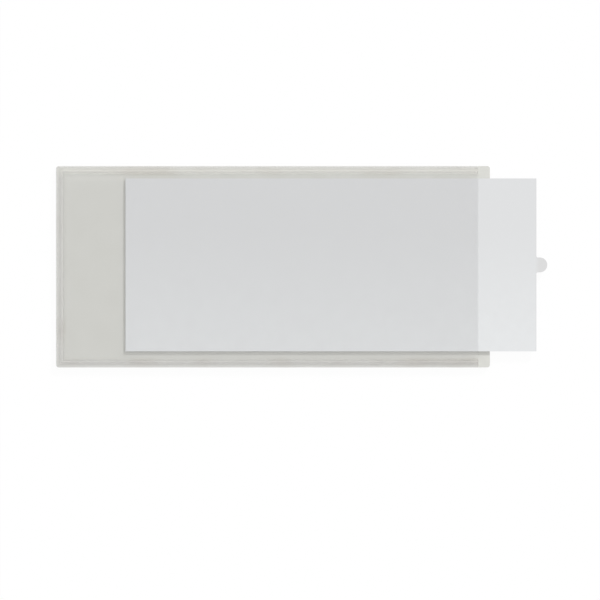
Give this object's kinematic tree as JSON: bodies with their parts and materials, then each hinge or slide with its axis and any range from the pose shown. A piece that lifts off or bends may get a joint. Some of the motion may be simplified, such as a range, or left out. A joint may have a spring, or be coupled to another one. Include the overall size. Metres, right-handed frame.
{
  "type": "adhesive label holder",
  "caption": "Flat self-adhesive label holder: a clear film pocket welded on three sides, open at one end, with a white label card that slides in and out by its pull tab.",
  "frame": {"origin": "middle of the holder's back, on the outer face of the release liner", "axes": "+X along the holder to its open end, +Y across it to the upper side in the picture, +Z out through the window"},
  "size_m": [0.1585, 0.065, 0.0015],
  "materials": {
    "liner_paper": "calendered release paper, off-white, with a faint silicone sheen",
    "adhesive": "clear pressure-sensitive acrylic adhesive, slightly hazy",
    "back_film": "soft calendered vinyl film, hazy, light grey over the liner",
    "window_film": "clear vinyl film with a low gloss",
    "card_paper": "smooth uncoated white card"
  },
  "bodies": {
    "holder": {"release_liner": "liner_paper", "adhesive_layer": "adhesive", "back_film": "back_film", "welded_edge": "window_film", "window_film": "window_film"},
    "card": {"label_card": "card_paper"}
  },
  "joints": [
    {"name": "card_slide", "type": "slide", "parent": "holder", "child": "card", "axis": [1, 0, 0], "range_m": [-0.0187, 0.114]}
  ]
}
